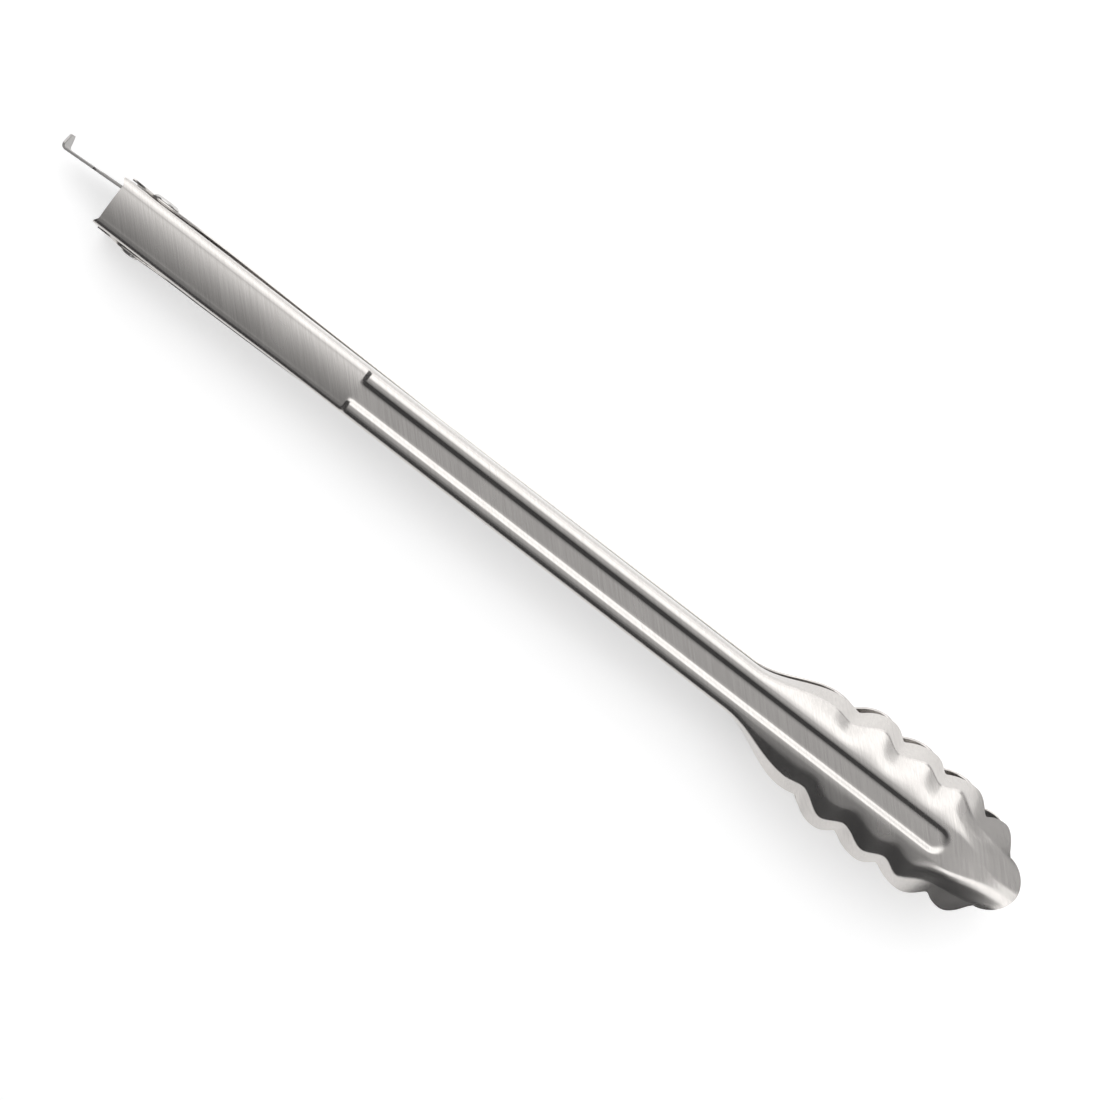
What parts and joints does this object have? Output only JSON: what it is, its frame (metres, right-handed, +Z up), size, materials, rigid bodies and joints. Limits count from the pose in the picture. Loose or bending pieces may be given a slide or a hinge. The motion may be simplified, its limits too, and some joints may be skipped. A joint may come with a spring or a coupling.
{
  "type": "kitchen tongs",
  "caption": "Long sprung sheet steel tongs with lobed claws, a riveted hinge and a pull-out lock slide.",
  "frame": {"origin": "middle of the footprint, on the surface the lower arm's back lies on", "axes": "+X along the tongs from the hinge towards the claw tips, +Y along the hinge rivet towards its domed head, +Z up"},
  "size_m": [0.4358, 0.0472, 0.0427],
  "materials": {
    "arm_steel": "brushed",
    "rivet_steel": "polished",
    "spring_steel": "drawn wire",
    "slide_steel": "brushed"
  },
  "bodies": {
    "lower_arm": {"lower_arm": "arm_steel", "torsion_spring": "spring_steel"},
    "upper_arm": {"upper_arm": "arm_steel"},
    "rivet": {"hinge_rivet": "rivet_steel"},
    "lock": {"lock_slide": "slide_steel"}
  },
  "joints": [
    {"name": "arm_hinge", "type": "hinge", "parent": "lower_arm", "child": "upper_arm", "pos_m": [-0.17494, 0, 0.012], "axis": [0, -1, 0], "range_deg": [-3, 21], "stiffness_Nm_per_rad": 2, "springref_deg": 5.44, "deforming": ["torsion_spring"]},
    {"name": "rivet_turn", "type": "hinge", "parent": "lower_arm", "child": "rivet", "pos_m": [-0.17494, 0, 0.012], "axis": [0, -1, 0], "range_deg": [-1.6, 10.6]},
    {"name": "lock_travel", "type": "slide", "parent": "rivet", "child": "lock", "axis": [0.9997, 0, 0.0262], "range_m": [-0.0032, 0.0221]}
  ],
  "couplings": [
    {"joint": "rivet_turn", "follows": "arm_hinge", "ratio": 0.5},
    {"joint": "lock_travel", "follows": "arm_hinge", "m_per_rad": 0.060024}
  ]
}
